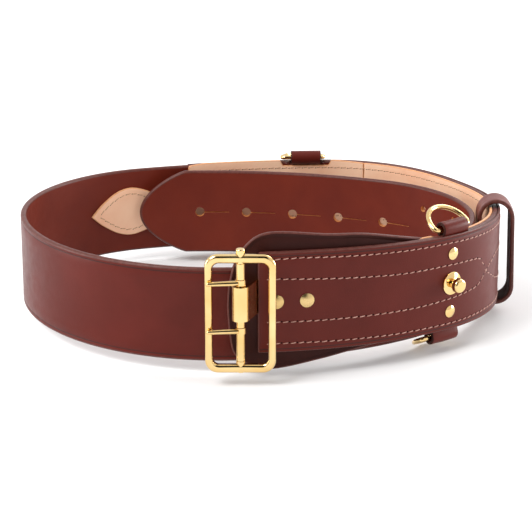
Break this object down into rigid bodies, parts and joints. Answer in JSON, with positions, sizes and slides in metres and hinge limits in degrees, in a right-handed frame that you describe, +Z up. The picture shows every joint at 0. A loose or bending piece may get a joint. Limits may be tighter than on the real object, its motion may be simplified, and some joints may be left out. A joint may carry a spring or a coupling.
{
  "type": "duty waist belt",
  "caption": "Coiled leather duty waist belt with a hook-on two-prong brass buckle, stitched and lined end, stud, keyholes, wire dees and a sliding keeper.",
  "frame": {"origin": "middle of the whole object's footprint, on the surface it stands on", "axes": "+X along the front of the coil to the stitched side, +Y from the buckle to the back, +Z up"},
  "size_m": [0.3098, 0.2744, 0.0873],
  "materials": {
    "strap_leather": "red-brown bridle leather, waxed, with slicked dark edges",
    "lining_leather": "natural tan vegetable leather, matt",
    "brass_fittings": "polished brass"
  },
  "bodies": {
    "belt": {"main_strap": "strap_leather", "belt_facing": "strap_leather", "lining_front": "lining_leather", "lining_back": "lining_leather", "buckle_safe": "strap_leather", "front_dee_chape": "strap_leather", "back_dee_chape": "strap_leather", "hook_plate": "brass_fittings", "hook_rivets": "brass_fittings", "hook_rivet_burrs": "brass_fittings", "front_dee_rivets": "brass_fittings", "front_dee_burrs": "brass_fittings", "back_dee_rivets": "brass_fittings", "back_dee_burrs": "brass_fittings", "belt_stud": "brass_fittings", "stud_screw": "brass_fittings"},
    "centre_bar": {"centre_bar": "brass_fittings"},
    "buckle_frame": {"buckle_frame": "brass_fittings"},
    "prong_upper": {"prong_upper": "brass_fittings"},
    "prong_lower": {"prong_lower": "brass_fittings"},
    "dee_front_top": {"dee_front_top": "brass_fittings"},
    "dee_front_bottom": {"dee_front_bottom": "brass_fittings"},
    "dee_back_top": {"dee_back_top": "brass_fittings"},
    "dee_back_bottom": {"dee_back_bottom": "brass_fittings"},
    "running_loop": {"running_loop": "strap_leather"}
  },
  "joints": [
    {"name": "bar_lift", "type": "slide", "parent": "belt", "child": "centre_bar", "axis": [0, 0, 1], "range_m": [0, 0.004]},
    {"name": "buckle_swing", "type": "hinge", "parent": "centre_bar", "child": "buckle_frame", "pos_m": [-0.01508, -0.13179, 0.044], "axis": [0, 0, 1], "range_deg": [-35, 10]},
    {"name": "prong_upper_swing", "type": "hinge", "parent": "buckle_frame", "child": "prong_upper", "pos_m": [-0.01508, -0.13179, 0.0628], "axis": [0, 0, 1], "range_deg": [0, 150]},
    {"name": "prong_lower_swing", "type": "hinge", "parent": "buckle_frame", "child": "prong_lower", "pos_m": [-0.01508, -0.13179, 0.0341], "axis": [0, 0, 1], "range_deg": [0, 150]},
    {"name": "dee_front_top_swing", "type": "hinge", "parent": "belt", "child": "dee_front_top", "pos_m": [0.10952, -0.0709, 0.0766], "axis": [0.7474, 0.6644, 0], "range_deg": [-63, 155]},
    {"name": "dee_front_bottom_swing", "type": "hinge", "parent": "belt", "child": "dee_front_bottom", "pos_m": [0.10435, -0.07516, 0.0107], "axis": [0.7955, 0.606, 0], "range_deg": [-158, 0]},
    {"name": "dee_back_top_swing", "type": "hinge", "parent": "belt", "child": "dee_back_top", "pos_m": [0.02643, 0.1194, 0.0675], "axis": [-0.999, -0.0458, 0], "range_deg": [-226, 0]},
    {"name": "dee_back_bottom_swing", "type": "hinge", "parent": "belt", "child": "dee_back_bottom", "pos_m": [0.02643, 0.1194, 0.0045], "axis": [-0.999, -0.0458, 0], "range_deg": [-15, 220]},
    {"name": "running_loop_slide", "type": "hinge", "parent": "belt", "child": "running_loop", "pos_m": [0.01315, 0.00364, 0.0382], "axis": [-0.0133, 0.048, 0.9988], "range_deg": [-7, 44]}
  ]
}
